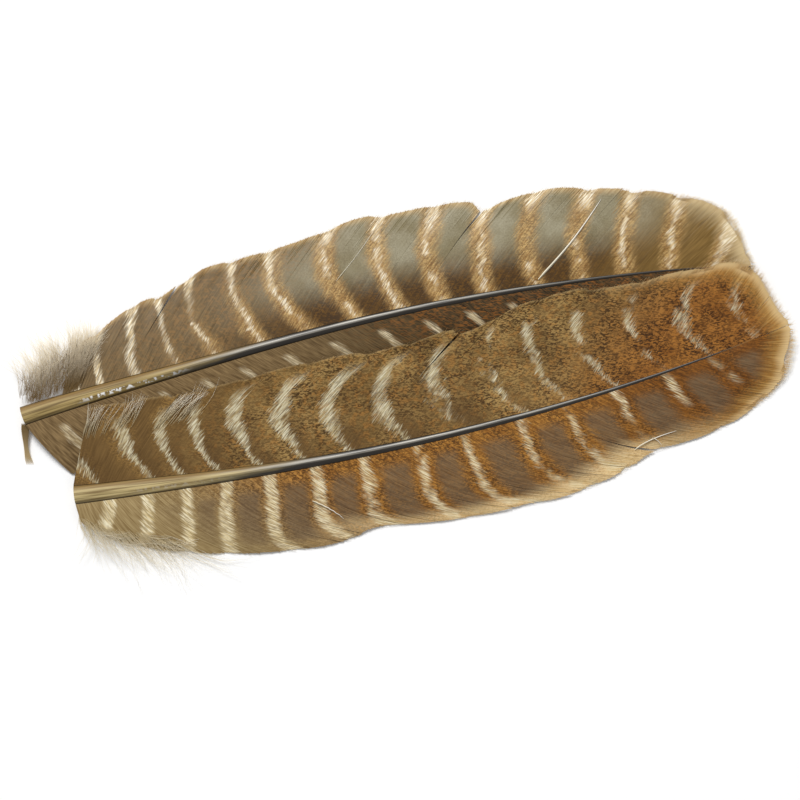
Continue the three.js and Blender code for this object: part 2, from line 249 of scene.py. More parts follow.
class Barbs:
    """The barbs of one side of a feather: where each runs, how long it is and how high it lies.

    Columns alternate, furrow then barb, and begin and end with a furrow.
    """

    def __init__(self, shaft, side, angle, spread, sweep, nodes, bars, bend, first=0.0, last=1.0):
        self.shaft, self.side = shaft, side
        self.bars, self.bend = bars, bend
        count = 2 * round((last - first) * shaft.length / BARB_PITCH) + 1
        self.share = np.linspace(first, last, count)
        self.run = self.share * shaft.length
        self.grow(angle, spread, sweep)
        self.read_surface(Surface(nodes))

    def grow(self, angle, spread, sweep):
        """Paths seen from above, from inside the shaft's wall outwards, a step at a time."""
        x, y, heading, half_width = self.shaft.at(self.share)
        root_angle = angle + spread * np.exp(-self.share / BASE_SPREAD_SHARE)
        openness = np.sqrt(1 - self.share ** TIP_NARROWING)
        reach = np.arange(0, LONGEST_BARB, BARB_STEP)
        bend = sweep * np.minimum(1, reach / SWEEP_LENGTH)
        turn = np.radians((root_angle[:, None] - bend) * openness[:, None])
        self.heading = heading[:, None] + self.side * turn
        steps = np.stack([np.cos(self.heading), np.sin(self.heading)], -1) * BARB_STEP
        offset = self.side * (half_width - ROOT_INSET)
        root = np.stack([x - np.sin(heading) * offset, y + np.cos(heading) * offset], -1)
        walked = np.cumsum(steps[:, :-1], axis=1)
        self.path = root[:, None] + np.concatenate([np.zeros_like(steps[:, :1]), walked], axis=1)

    def read_surface(self, surface):
        """Each barb's length, and its height at even rows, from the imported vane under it."""
        length, height = [], []
        for path in self.path:
            seen = []
            for step, (x, y) in enumerate(path):
                z = surface.height(x, y)
                if z is not None:
                    seen.append((step * BARB_STEP, z))
                elif step * BARB_STEP - (seen[-1][0] if seen else 0) > EDGE_GAP_BRIDGED:
                    break
            if len(seen) < FEWEST_STEPS:
                length.append(np.nan)
                height.append(np.full(len(BARB_SHARES), np.nan))
                continue
            reach, z = np.array(seen).T
            length.append(reach[-1])
            height.append(Polynomial.fit(reach / reach[-1], z, BARB_FIT_DEGREE)(BARB_SHARES))
        length, height = np.array(length), np.array(height)
        known = ~np.isnan(length)
        index = np.arange(len(length))
        length = np.interp(index, index[known], length[known])
        height = np.array([np.interp(index, index[known], row[known]) for row in height.T])
        self.length = smooth(length, EDGE_SMOOTHING[self.side])
        self.height = np.array([smooth(row, HEIGHT_SMOOTHING) for row in height]).T

    def nearest(self, share):
        """The column nearest to a share of the shaft."""
        return np.abs(self.share - share).argmin()

    def place(self, column, reach):
        """Points seen from above at reaches along some barbs; one row of reaches a barb."""
        step = np.clip(reach / BARB_STEP, 0, self.path.shape[1] - 1.001)
        before = step.astype(int)
        part = (step - before)[..., None]
        barb = column[:, None]
        return self.path[barb, before] * (1 - part) + self.path[barb, before + 1] * part

    def towards_tip(self, column, reach):
        """Level directions square to some barbs, on the side of the feather's tip."""
        step = np.clip(reach / BARB_STEP, 0, self.heading.shape[1] - 1).astype(int)
        heading = self.heading[column[:, None], step]
        return self.side * np.stack([np.sin(heading), -np.cos(heading)], -1)

    def bar_root(self, place, swing, reach):
        """Where along x the barbs leave the shaft that carry a bar at some reach."""
        shortest, lateness = self.bend
        extent = self.shaft.end - self.shaft.start
        part = np.minimum(1, reach / max(shortest, BAR_BEND * swing / BAR_LEAN))
        early = 1 - (1 - part) ** BAR_BEND
        return self.shaft.start + place * extent - swing * (early + lateness * (ease(part) - early))

    def phase(self, run, reach):
        """Whole numbers on the pale bars, with one more bar past each end of the list."""
        places, swings = np.array(self.bars).T
        past = PAST_LIST * np.diff(places).mean()
        places = [places[0] - past, *places, places[-1] + past]
        swings = [swings[0], *swings, swings[-1]]
        x = np.interp(run, self.shaft.run, self.shaft.x)
        number = np.full(np.shape(reach), 0.5)
        for k in range(len(places) - 1):
            before = self.bar_root(places[k], swings[k], reach)
            after = self.bar_root(places[k + 1], swings[k + 1], reach)
            bars_between = PAST_LIST if k in (0, len(places) - 2) else 1.0
            number += bars_between * np.clip((x - before) / (after - before), 0, 1)
        return number


def join_tips(left, right):
    """Brings both vanes of a feather to one height and one length where they meet at its tip."""
    height = (left.height[-1] + right.height[-1]) / 2
    length = (left.length[-1] + right.length[-1]) / 2 - TIP_ROUNDING
    for barbs in (left, right):
        near = ease(barbs.share, TIP_JOINED_FROM, 1)
        barbs.height += near[:, None] * (height - barbs.height[-1])
        barbs.length += near ** 2 * (length - barbs.length[-1])


# ---------------- meshes

def new_object(name, data):
    """A new object, put in the scene."""
    thing = bpy.data.objects.new(name, data)
    bpy.context.scene.collection.objects.link(thing)
    return thing


class Mesh:
    """Closed bodies gathered into one piece, with the numbers its material reads at each point."""

    def __init__(self):
        self.points, self.faces, self.values = [], [], {}
        self.count = 0

    def add(self, points, faces, **values):
        self.points.append(points)
        self.faces += [[self.count + i for i in face] for face in faces]
        self.count += len(points)
        for name, value in values.items():
            self.values.setdefault(name, []).append(value)

    def build(self, name, material):
        mesh = bpy.data.meshes.new(name)
        mesh.from_pydata((np.concatenate(self.points) * MM).tolist(), [], self.faces)
        for key, chunks in self.values.items():
            numbers = np.concatenate(chunks).astype(np.float32)
            is_vector = numbers.ndim == 2
            layer = mesh.attributes.new(key, "FLOAT_VECTOR" if is_vector else "FLOAT", "POINT")
            layer.data.foreach_set("vector" if is_vector else "value", numbers.ravel())
        mesh.shade_smooth()
        mesh.set_sharp_from_angle(angle=math.radians(SHARP_ANGLE))
        mesh.materials.append(material)
        return new_object(name, mesh)


def grid_faces(grid):
    """Four-cornered faces between neighbouring rows and columns of a grid of point numbers."""
    corners = [grid[:-1, :-1], grid[1:, :-1], grid[1:, 1:], grid[:-1, 1:]]
    return np.stack(corners, -1).reshape(-1, 4)


def tube_faces(rings, sides):
    """Faces of a tube of rings that run clockwise as seen from its far end, closed at both ends."""
    grid = np.arange(rings * sides).reshape(rings, sides)
    closed = np.concatenate([grid, grid[:, :1]], axis=1)
    return grid_faces(closed).tolist() + [grid[0].tolist(), grid[-1][::-1].tolist()]


def sheet_faces(columns, rows, side):
    """Faces of a closed sheet: its top points come first, column by column, then its bottom points."""
    drop = columns * rows
    top = np.arange(drop).reshape(columns, rows)
    border = np.concatenate([top[:, 0], top[-1, 1:], top[-2::-1, -1], top[0, -2:0:-1]])
    after = np.roll(border, -1)
    wall = np.stack([border, border + drop, after + drop, after], -1)
    faces = np.concatenate([grid_faces(top), grid_faces(top + drop)[:, ::-1], wall])
    return (faces if side == LEFT else faces[:, ::-1]).tolist()


def clumps(barbs, tears, chance):
    """Runs of barbs that cling together: first and last column, and the opening at each end."""
    last = len(barbs.share) - 1
    cuts = {0: 0.0, last: 0.0}
    for tear in tears:
        cuts[2 * round(barbs.nearest(tear) / 2)] = SPLIT_GAP
    column = 0
    while column < last:
        column += 2 * chance.randint(*CLUMP_BARBS)
        if all(abs(column - cut) > CLUMP_BARBS[0] for cut in cuts):
            cuts[column] = CLUMP_GAP * chance.random() ** 2
    places = sorted(cut for cut in cuts if cut <= last)
    return [(a, b, cuts[a], cuts[b]) for a, b in zip(places, places[1:])]


def barb_values(barbs, column, reach, length, flat):
    """What a vane's material reads at points along some barbs: flat holds them as seen from above."""
    run = np.broadcast_to(barbs.run[column][:, None], reach.shape)
    level = np.zeros_like(reach)
    return {
        "share": (run / barbs.shaft.length).ravel(),
        "reach": reach.ravel(),
        "edge": (length - reach).ravel(),
        "phase": barbs.phase(run, reach).ravel(),
        "fibre": np.stack([run, reach, level], -1).reshape(-1, 3),
        "place": np.stack([flat[..., 0], flat[..., 1], level], -1).reshape(-1, 3),
    }


def add_clump(mesh, barbs, clump, chance):
    """One closed ridged sheet over a run of barbs."""
    first, last, gap_before, gap_after = clump
    column = np.arange(first, last + 1)
    is_barb = (column % 2)[:, None]
    rows = BARB_SHARES[None, :]
    share = barbs.share[column][:, None]

    tip_phase = barbs.phase(barbs.run[column], barbs.length[column])
    worn = SCALLOP * np.exp(-(((tip_phase + 0.5) % 1 - 0.5) / SCALLOP_WIDTH) ** 2)
    uneven = np.array([chance.random() for _ in column]) * is_barb[:, 0]
    length = barbs.length[column] - worn + TOOTH * (uneven - 0.5)
    length += CLUMP_LENGTH * (chance.random() - 0.5)
    reach = length[:, None] * rows

    pulled = ease(rows, chance.uniform(*GAP_START), 1.0)
    from_start = (column - first)[:, None] / 2
    from_end = (last - column)[:, None] / 2
    shove = gap_before * np.exp(-from_start / GAP_REACH) - gap_after * np.exp(-from_end / GAP_REACH)
    flat = barbs.place(column, reach)
    flat = flat + barbs.towards_tip(column, reach) * (shove / 2 * pulled)[..., None]

    tilt = CLUMP_TILT * chance.uniform(-1, 1) * (1 - ease(share, *TILT_FADES))
    across = from_start / (from_start + from_end) - 0.5
    ridge = RIDGE * (is_barb - 0.5) * ease(rows, 0, 0.05)
    bars = np.cos(math.tau * barbs.phase(barbs.run[column][:, None], reach)) * ease(rows, 0, 0.2)
    middle = barbs.height[column] + tilt * across * rows + ridge - BAR_RELIEF / 2 * bars
    half = (ROOT_THICKNESS + (TIP_THICKNESS - ROOT_THICKNESS) * rows) / 2

    sides = middle + half, middle - half
    points = [np.concatenate([flat, z[..., None]], -1).reshape(-1, 3) for z in sides]
    values = barb_values(barbs, column, reach, length[:, None], flat)
    doubled = {name: np.concatenate([value, value]) for name, value in values.items()}
    mesh.add(np.concatenate(points), sheet_faces(len(column), rows.size, barbs.side), **doubled)


def add_strand(mesh, points, width, **values):
    """A closed tapering thread with three sides through some points."""
    forward = np.gradient(points, axis=0)
    forward /= np.linalg.norm(forward, axis=1)[:, None]
    sideways = np.cross(forward, [0, 0, 1])
    sideways /= np.linalg.norm(sideways, axis=1)[:, None]
    upward = np.cross(sideways, forward)
    t = np.linspace(0, 1, len(points))
    radius = width / 2 * (0.15 + 0.85 * (1 - t) ** 0.7) * (0.4 + 0.6 * ease(t, 0, 0.1))
    rings = []
    for corner in range(3):
        turn = math.tau * corner / 3 + math.pi / 2
        rings.append(points + (sideways * math.cos(turn) + upward * math.sin(turn)) * radius[:, None])
    cloud = np.stack(rings, 1).reshape(-1, 3)
    mesh.add(cloud, tube_faces(len(points), 3), **(values or {"along": np.repeat(t, 3)}))


def strand_on_barb(barbs, share, start, past_edge, curl, lift, chance):
    """Points of a thread that follows a barb from a fraction of its length to past its tip.

    curl is how far its end strays towards the feather's tip, in millimetres.
    """
    column = np.array([barbs.nearest(share)])
    length = barbs.length[column[0]]
    t = np.linspace(0, 1, STRAND_RINGS)
    reach = start * length + t * (length * (1 - start) + past_edge)
    flat = barbs.place(column, reach[None, :])[0]
    sideways = barbs.towards_tip(column, reach[None, :])[0]
    wave = WAVINESS * abs(curl) * chance.uniform(-1, 1)
    stray = curl * t ** 2 + wave * np.sin(chance.uniform(2, 7) * t)
    flat = flat + sideways * stray[:, None]
    height = np.interp(reach / length, BARB_SHARES, barbs.height[column[0]])
    height += TIP_THICKNESS / 2 + STRAND_WIDTH + lift * chance.random() * np.sin(math.pi * t * 0.8)
    return np.concatenate([flat, np.maximum(height, STRAND_WIDTH)[:, None]], axis=1)


def add_fringe(mesh, barbs, chance):
    """Loose ends that soften a vane's edge, longest and thickest set round the feather's tip."""
    for column in range(1, len(barbs.share) - 1, 2):
        at_tip = float(ease(barbs.share[column], *TIP_FRINGE_GROWS))
        for _ in range(1 + round((TIP_FRINGE_STRANDS - 1) * at_tip)):
            longest = FRINGE_LENGTH + (TIP_FRINGE_LENGTH - FRINGE_LENGTH) * at_tip
            past_edge = longest * chance.random() ** 1.5
            share = barbs.share[column] + chance.uniform(-1, 1) * BARB_PITCH / barbs.shaft.length
            curl = (0.15 + 0.3 * past_edge) * chance.uniform(-1, 1)
            points = strand_on_barb(barbs, share, FRINGE_START, past_edge, curl, 0, chance)
            points[:, 2] -= STRAND_WIDTH
            length = barbs.length[column]
            reach = np.linspace(FRINGE_START * length, length + past_edge, STRAND_RINGS)[None, :]
            one = barb_values(barbs, np.array([column]), reach, length, points[None, :, :2])
            values = {name: np.repeat(value, 3, axis=0) for name, value in one.items()}
            add_strand(mesh, points, FRINGE_WIDTH, **values)


# ---------------- shafts

def sweep(shaft, share, scale):
    """Rings of points round a shaft: round above, flat below, scaled about its axis."""
    x, y, heading, half_width = shaft.at(share)
    under = np.maximum(shaft.underside(x), 0)
    top = np.maximum(shaft.top(x), under + half_width)
    half_depth = (top - under) / (1 + SHAFT_UNDERSIDE)
    across = np.cos(ROUND_SHAFT)[None, :] * (half_width * scale)[:, None]
    rise = np.maximum(np.sin(ROUND_SHAFT), -SHAFT_UNDERSIDE)[None, :] * (half_depth * scale)[:, None]
    points = np.stack([
        x[:, None] - np.sin(heading)[:, None] * across,
        y[:, None] + np.cos(heading)[:, None] * across,
        (under + SHAFT_UNDERSIDE * half_depth)[:, None] + rise,
    ], -1)
    return points.reshape(-1, 3)


def add_swept(mesh, shaft, share, scale):
    """A closed tube of such rings, with what the horn and the pith read at each point."""
    points = sweep(shaft, share, scale)
    run = np.repeat(share * shaft.length, SHAFT_SIDES)
    leftness = np.tile(np.cos(ROUND_SHAFT), len(share))
    fibre = np.stack([run, leftness, np.tile(np.sin(ROUND_SHAFT), len(share))], -1)
    along = np.repeat(share, SHAFT_SIDES)
    # Its rings run the other way round, so its faces are turned over.
    faces = [face[::-1] for face in tube_faces(len(share), SHAFT_SIDES)]
    mesh.add(points, faces, share=along, left=leftness, fibre=fibre)


def cortex_mesh(shaft):
    """The horny wall: the bore's rings from its blind end to the cut, then the outside to the tip."""
    bore = np.linspace(BORE_END, 0, SHAFT_RINGS // 4)
    outside = np.linspace(0, 1, SHAFT_RINGS)
    mesh = Mesh()
    scale = np.concatenate([np.full(len(bore), CORTEX_BORE), np.ones(len(outside))])
    add_swept(mesh, shaft, np.concatenate([bore, outside]), scale)
    return mesh


def pith_mesh(shaft):
    """The pith that fills the bore up to a little short of the cut."""
    share = np.linspace(PITH_RECESS, PITH_END, SHAFT_RINGS // 4)
    mesh = Mesh()
    add_swept(mesh, shaft, share, np.full(len(share), CORTEX_BORE - PITH_CLEARANCE))
    return mesh


# ---------------- materials

def linear(level):
    """How bright a screen level from 0 to 255 really is. Colours are given in such levels."""
    share = level / 255
    return share / 12.92 if share <= 0.04045 else ((share + 0.055) / 1.055) ** 2.4


LOOSE_END = (255, 244, 222)  # the ends of barbs that stand out past the edge


class Shader:
    """A procedural material, built up one step at a time round a Principled shader."""

    def __init__(self, name, roughness, specular=0.5):
        self.material = bpy.data.materials.new(name)
        self.material.use_nodes = True
        self.surface = self.material.node_tree.nodes["Principled BSDF"].inputs
        self.feed(self.surface["Roughness"], roughness)
        self.feed(self.surface["Specular IOR Level"], specular)

    def feed(self, socket, value):
        """Gives a socket another node's output, a colour or a number."""
        if isinstance(value, bpy.types.NodeSocket):
            self.material.node_tree.links.new(value, socket)
        elif isinstance(value, tuple):
            socket.default_value = (*map(linear, value), 1.0)
        else:
            socket.default_value = value

    def node(self, kind, inputs, output=0, **settings):
        """One output of a new node with some settings and inputs."""
        node = self.material.node_tree.nodes.new("ShaderNode" + kind)
        for name, value in settings.items():
            setattr(node, name, value)
        for name, value in inputs.items():
            self.feed(node.inputs[name], value)
        return node.outputs[output]

    def read(self, name, output="Fac"):
        """What the mesh carries under a name."""
        return self.node("Attribute", {}, output, attribute_name=name)

    def math(self, operation, *values):
        return self.node("Math", dict(enumerate(values)), operation=operation)

    def line(self, value, slope, start):
        """A straight line: value times slope, plus start."""
        return self.math("MULTIPLY_ADD", value, slope, start)

    def either(self, a, b):
        """The larger of two values."""
        return self.math("MAXIMUM", a, b)

    def both(self, *values):
        """All of the values multiplied together."""
        product = values[0]
        for value in values[1:]:
            product = self.math("MULTIPLY", product, value)
        return product

    def rise(self, value, start, end):
        """0 before start, 1 after end and a smooth rise between; end may be below start."""
        falls = end < start
        inputs = {
            "Value": value, "From Min": min(start, end), "From Max": max(start, end),
            "To Min": falls, "To Max": not falls,
        }
        return self.node("MapRange", inputs, "Result", interpolation_type="SMOOTHSTEP")

    def along(self, start, end):
        """The same rise, from one share of the shaft to another."""
        return self.rise(self.read("share"), start, end)

    def noise(self, vector, stretch, detail=2.0, twist=0.0, seed=0.0):
        """Clouds from 0 to 1. stretch gives how many fit in a millimetre each way."""
        offset = Vector((seed, seed * 0.7, seed * 1.3))
        inputs = {0: vector, 1: Vector((*stretch, 1)), 2: offset}
        scaled = self.node("VectorMath", inputs, operation="MULTIPLY_ADD")
        inputs = {"Vector": scaled, "Scale": 1, "Detail": detail, "Distortion": twist}
        return self.node("TexNoise", inputs)

    def mix(self, under, over, *shares):
        """One colour laid over another, as thickly as the product of the shares."""
        return self.node("Mix", {"Factor": self.both(*shares), 6: under, 7: over}, 2, data_type="RGBA")

    def lay(self, colour, *shares):
        """Lays a colour over the surface as it is so far; the first one covers it all."""
        self.ground = self.mix(self.ground, colour, *shares) if shares else colour
        self.feed(self.surface["Base Color"], self.ground)


def streaks(vane, seed=0.0, across=1.3, along=0.1):
    """Fine streaks that run along the barbs."""
    return vane.noise(vane.read("fibre", "Vector"), (across, along), 2, 0, seed)


def ragged(vane, value, seed, amount):
    """A distance made uneven by streaks along the barbs."""
    return vane.line(streaks(vane, seed), amount, value)


def tint(vane, seed, dark, light, across=2.2, along=0.14):
    """Two browns blended in streaks along the barbs."""
    return vane.mix(dark, light, vane.rise(streaks(vane, seed, across, along), 0.25, 0.75))


def patches(vane, seed, low, high, size=0.15):
    """1 in some broad patches of the vane and 0 in others; size is how many fit in a millimetre."""
    cloud = vane.noise(vane.read("place", "Vector"), (size, size), 2, 0, seed)
    return vane.rise(cloud, low, high)


def clouds(vane, seed, dark, light, size=0.08):
    """Two browns blended in broad patches."""
    return vane.mix(dark, light, patches(vane, seed, 0.3, 0.7, size))


def speckles(vane, seed, stretch=(1.0, 2.1), amount=0.5):
    """Small dark squiggles, 1 inside one; amount is the share of the vane they cover."""
    squiggle = vane.noise(vane.read("place", "Vector"), stretch, 3, 0.8, seed)
    broken = vane.line(streaks(vane, seed + 3, 2.0, 0.5), 0.24, squiggle)
    middle = 0.62 + (0.5 - amount) * 0.3
    spots = vane.rise(broken, middle - 0.08, middle + 0.08)
    return vane.both(spots, vane.line(patches(vane, seed + 5, 0.35, 0.6, 0.12), 0.4, 0.6))


def bar_distance(vane, raggedness, wander=0.16):
    """How far a place is from the nearest pale bar, 0 on it and 0.5 midway, and its bar number."""
    uneven = vane.line(streaks(vane, 3.1, 2.2, 0.22), raggedness, -raggedness / 2)
    drift = vane.noise(vane.read("place", "Vector"), (0.1, 0.1), 2, 0, 7.7)
    drift = vane.line(drift, wander, -wander / 2)
    phase = vane.math("ADD", vane.math("ADD", vane.read("phase"), uneven), drift)
    return vane.math("PINGPONG", phase, 0.5), phase


def lay_bars(vane, distance, half_width, soft, dark, light, *shown):
    """Pale bars where they are shown. A bar is a run of strokes along the barbs, not a solid band."""
    body = vane.rise(vane.math("SUBTRACT", half_width, distance), -soft, soft)
    gaps = vane.rise(streaks(vane, 11.3, 2.4, 0.3), 0.4, 0.58)
    vane.lay(tint(vane, 1.7, dark, light, 1.6), body, vane.line(gaps, 0.7, 0.3), *shown)


def hazy_tip(vane, edge):
    """Fades the last of a front vane to soft gold, and its loose ends to near white."""
    gold = tint(vane, 9, (156, 112, 50), (200, 160, 94))
    vane.lay(gold, vane.rise(ragged(vane, edge, 8, 6), 13, 3), vane.along(0.66, 0.92), 0.9)
    # Painted glow: the last few millimetres of edge towards the tip are lightened as light shining through
    # the thin barbs would lighten them.
    vane.lay((222, 194, 144), vane.rise(edge, 4, -0.5), vane.along(0.6, 0.88), 0.85)
    vane.lay(LOOSE_END, vane.rise(edge, 0.3, -2), 0.9)


def front_left_material():
    """Mottled brown with whitish bars, turning rufous with a gold edge at the tip."""
    vane = Shader("front_left_vane", 0.62, 0.15)
    edge, reach = map(vane.read, ("edge", "reach"))
    distance, phase = bar_distance(vane, 0.5, 0.34)
    tipward = vane.along(0.6, 0.86)

    vane.lay(clouds(vane, 1, (126, 98, 54), (166, 134, 80)))
    vane.lay(clouds(vane, 5, (134, 84, 32), (160, 106, 46), 0.2), tipward)
    vane.lay((166, 112, 48), patches(vane, 9, 0.48, 0.62, 0.6), 0.4)
    dark = vane.mix((66, 46, 22), (52, 30, 12), tipward)
    vane.lay(dark, speckles(vane, 2, (1.0, 2.6)), 0.95)
    plain = tint(vane, 0, (94, 70, 37), (120, 92, 52))
    flecks = speckles(vane, 17, (1.2, 2.4))
    plain = vane.mix(plain, (158, 122, 66), flecks, vane.rise(distance, 0.45, 0.1), 0.7)
    vane.lay(plain, vane.along(0.24, 0.05))
    shade = tint(vane, 7, (78, 56, 30), (108, 82, 46))
    after_bar = vane.rise(vane.math("FRACT", phase), 0.6, 0.15)
    vane.lay(shade, after_bar, vane.rise(reach, 26, 6), vane.along(0.8, 0.5), 0.8)
    hazy_tip(vane, edge)
    vane.lay((176, 150, 104), vane.rise(edge, 1.5, 0), 0.4)

    width = vane.line(vane.rise(reach, 4, 17), 0.095, 0.05)
    width = vane.both(width, vane.line(vane.along(0.75, 0.4), 0.55, 0.45))
    shown = vane.either(patches(vane, 4, 0.4, 0.58), vane.along(0.5, 0.3))
    shown = vane.both(shown, vane.rise(edge, 3, 12), 0.9)
    lay_bars(vane, distance, width, 0.06, (182, 166, 124), (232, 226, 198), shown)
    return vane.material


def front_right_material():
    """Orange brown with grey-brown blotches, cream strokes and a buff edge."""
    vane = Shader("front_right_vane", 0.6, 0.15)
    edge, reach = map(vane.read, ("edge", "reach"))
    distance, _ = bar_distance(vane, 0.3, 0.22)

    vane.lay(tint(vane, 0, (130, 106, 66), (172, 150, 106)))
    vane.lay(tint(vane, 2, (128, 80, 28), (186, 132, 60)), vane.along(0.1, 0.36))
    vane.lay(tint(vane, 2, (98, 56, 14), (148, 94, 34)), vane.along(0.66, 0.86))
    vane.lay((72, 46, 20), speckles(vane, 12, (1.2, 2.5)), vane.along(0.05, 0.25), 0.85)
    grey = tint(vane, 6, (90, 70, 50), (124, 104, 78))
    between_bars = vane.rise(distance, 0.14, 0.36)
    blotch = vane.both(between_bars, vane.rise(reach, 3, 9), vane.rise(edge, 4, 11))
    vane.lay(grey, blotch, vane.along(0.06, 0.2), 0.75)
    cream = tint(vane, 9, (216, 184, 126), (246, 222, 174))
    cream = vane.mix(cream, (150, 112, 60), speckles(vane, 14, (1.4, 2.2), 0.35), 0.4)
    middle = vane.both(vane.along(0.1, 0.45), vane.along(0.86, 0.64))
    vane.lay(cream, vane.rise(ragged(vane, edge, 8, 8), 20, 7), middle, 0.92)
    hazy_tip(vane, edge)

    flare = vane.both(vane.rise(edge, 13, 1), vane.along(0.2, 0.4))
    width = vane.line(flare, 0.14, 0.055)
    width = vane.line(vane.along(0.6, 0.1), 0.08, width)
    shown = vane.either(patches(vane, 14, 0.32, 0.52), vane.along(0.4, 0.2))
    short = vane.either(vane.rise(reach, 21, 12), vane.along(0.76, 0.62))
    shown = vane.both(shown, vane.along(0.97, 0.85), short)
    lay_bars(vane, distance, width, 0.07, (204, 180, 126), (248, 238, 206), shown, 0.95)
    return vane.material


def rear_left_material():
    """Grey olive with a painted sheen between ochre and cream bars, and a worn edge with a painted glow."""
    vane = Shader("rear_left_vane", 0.5, 0.25)
    edge, reach = map(vane.read, ("edge", "reach"))
    distance, _ = bar_distance(vane, 0.34, 0.3)

    vane.lay(tint(vane, 4, (74, 50, 14), (108, 74, 22)))
    vane.lay((62, 42, 16), speckles(vane, 22, (0.9, 2.0), 0.55), 0.95)
    # Grey olive between the bars, partly the vane's own colour and partly painted sheen, laid over the outer
    # part of the barbs.
    olive_and_sheen = clouds(vane, 5, (134, 124, 94), (160, 153, 128), 0.1)
    olive_and_sheen = vane.mix(olive_and_sheen, (120, 104, 68), streaks(vane, 6), 0.3)
    olive_and_sheen = vane.mix(olive_and_sheen, (88, 74, 46), speckles(vane, 27, (2.2, 2.6)), 0.35)
    vane.lay(olive_and_sheen, vane.rise(ragged(vane, reach, 13, 8), 10, 28))
    vane.lay(tint(vane, 0, (88, 70, 42), (126, 104, 70)), vane.along(0.42, 0.2))
    mottled = vane.both(speckles(vane, 31, (0.8, 1.2), 0.4), vane.along(0.04, 0.2), 0.5)
    vane.lay((150, 112, 64), mottled, vane.along(0.4, 0.24))
    vane.lay(tint(vane, 5.5, (102, 76, 32), (136, 106, 54)), vane.along(0.74, 0.93))
    ochre = tint(vane, 2.6, (146, 104, 50), (212, 176, 114), 2.0, 0.3)
    ochre = vane.mix(ochre, (84, 58, 26), speckles(vane, 29, (1.4, 2.4)), 0.6)
    vane.lay(ochre, vane.rise(distance, 0.32, 0.08), vane.along(0.12, 0.38), 0.85)
    # Painted glow: the last millimetres of the edge, and a wider rim towards the tip, are lightened as light
    # shining through thin barbs would lighten them, on top of the edge's own pale buff.
    vane.lay(tint(vane, 9, (160, 120, 66), (220, 194, 144)), vane.rise(edge, 4, -0.5), 0.8)
    vane.lay((208, 186, 142), vane.rise(ragged(vane, edge, 8, 8), 13, 3), vane.along(0.78, 0.93), 0.8)
    vane.lay(LOOSE_END, vane.rise(edge, 0.3, -2), 0.9)

    width = vane.line(vane.rise(edge, 14, 1), 0.07, 0.05)
    width = vane.line(vane.along(0.24, 0.08), 0.06, width)
    shown = vane.either(patches(vane, 24, 0.42, 0.56), vane.rise(edge, 12, 4))
    shown = vane.either(shown, vane.along(0.25, 0.1))
    lay_bars(vane, distance, width, 0.06, (212, 184, 132), (255, 248, 226), shown, 0.95)
    return vane.material


def rear_right_material():
    """Dark brown, with short pale streaks and a little rust towards the tip."""
    vane = Shader("rear_right_vane", 0.6, 0.15)
    distance, _ = bar_distance(vane, 0.2)

    vane.lay(tint(vane, 0, (92, 71, 43), (144, 119, 81), 2.0, 0.2))
    vane.lay(tint(vane, 3, (34, 27, 16), (88, 69, 42), 2.0, 0.2), vane.along(0.3, 0.6))
    vane.lay((138, 88, 38), speckles(vane, 32, (0.6, 2.2), 0.35), vane.along(0.4, 0.6), 0.8)
    away = vane.rise(vane.read("reach"), 3, 6)
    lay_bars(vane, distance, 0.08, 0.05, (176, 154, 112), (236, 222, 190), away, 0.95)
    return vane.material


def shaft_material(name, dark, light, painted_glints):
    """Horn in two straw colours at the cut end, turning to glossy black, with painted glint spots."""
    horn = Shader(name, 0.3)
    share, left = map(horn.read, ("share", "left"))
    fibre = horn.read("fibre", "Vector")
    grain = horn.noise(fibre, (0.05, 6.0), 3, 0, 1)

    horn.lay(horn.mix(dark, light, horn.rise(grain, 0.3, 0.7)))
    horn.lay((118, 88, 38), horn.rise(left, 0.3, 0.6), 0.75)
    horn.lay((70, 52, 24), horn.rise(left, 0.8, 0.97), 0.85)
    # Painted shade: the horn's right-hand edge, which lies lower in the view, is darkened.
    horn.lay((62, 48, 34), horn.rise(left, -0.66, -0.92), 0.9)
    # Painted glints: a row of near-white spots on the right-hand half of the straw horn, standing in for
    # small highlights.
    glint_noise = horn.noise(fibre, (0.8, 1.6), 2, 0, 6)
    row = horn.both(horn.rise(left, -0.05, -0.2), horn.rise(left, -0.65, -0.45))
    row = horn.both(row, horn.along(0.07, 0.11), horn.along(0.25, 0.21))
    horn.lay((246, 246, 244), row, horn.rise(glint_noise, 0.48, 0.56), painted_glints)

    black = horn.mix((24, 20, 16), (52, 46, 38), grain)
    # Painted highlight: a pale grey band along the upper-left third of the black horn, where the lamp's
    # reflection lies.
    highlight_band = horn.both(horn.rise(left, -0.15, 0.25), horn.rise(left, 0.8, 0.5))
    painted_highlight = horn.both(highlight_band, horn.along(0.9, 0.6))
    highlight_grain = horn.rise(horn.noise(fibre, (0.08, 5.0), 3, 0, 9), 0.3, 0.7)
    black = horn.mix(black, (172, 166, 152), painted_highlight, highlight_grain, 0.85)
    mottle = horn.noise(fibre, (0.12, 2.5), 3, 0, 3)
    darkness = horn.rise(horn.line(mottle, 0.12, horn.line(left, -0.07, share)), 0.2, 0.4)
    horn.lay(black, darkness)
    horn.lay((150, 108, 56), horn.along(0.93, 0.995))
    horn.feed(horn.surface["Roughness"], horn.line(darkness, -0.24, 0.62))
    return horn.material


def pith_material():
    """Pale and matt, with a crumbly grain."""
    pith = Shader("shaft_pith", 0.9)
    grain = pith.noise(pith.read("fibre", "Vector"), (1.5, 2.0), 3)
    pith.lay(pith.mix((206, 188, 150), (238, 226, 200), grain))
    return pith.material


def strand_material(name, root, end):
    """Down or a loose barb, fading from its root to its end."""
    strand = Shader(name, 0.75, 0.15)
    strand.lay(strand.mix(root, end, strand.rise(strand.read("along"), 0, 0.9)))
    return strand.material


# ---------------- the two feathers

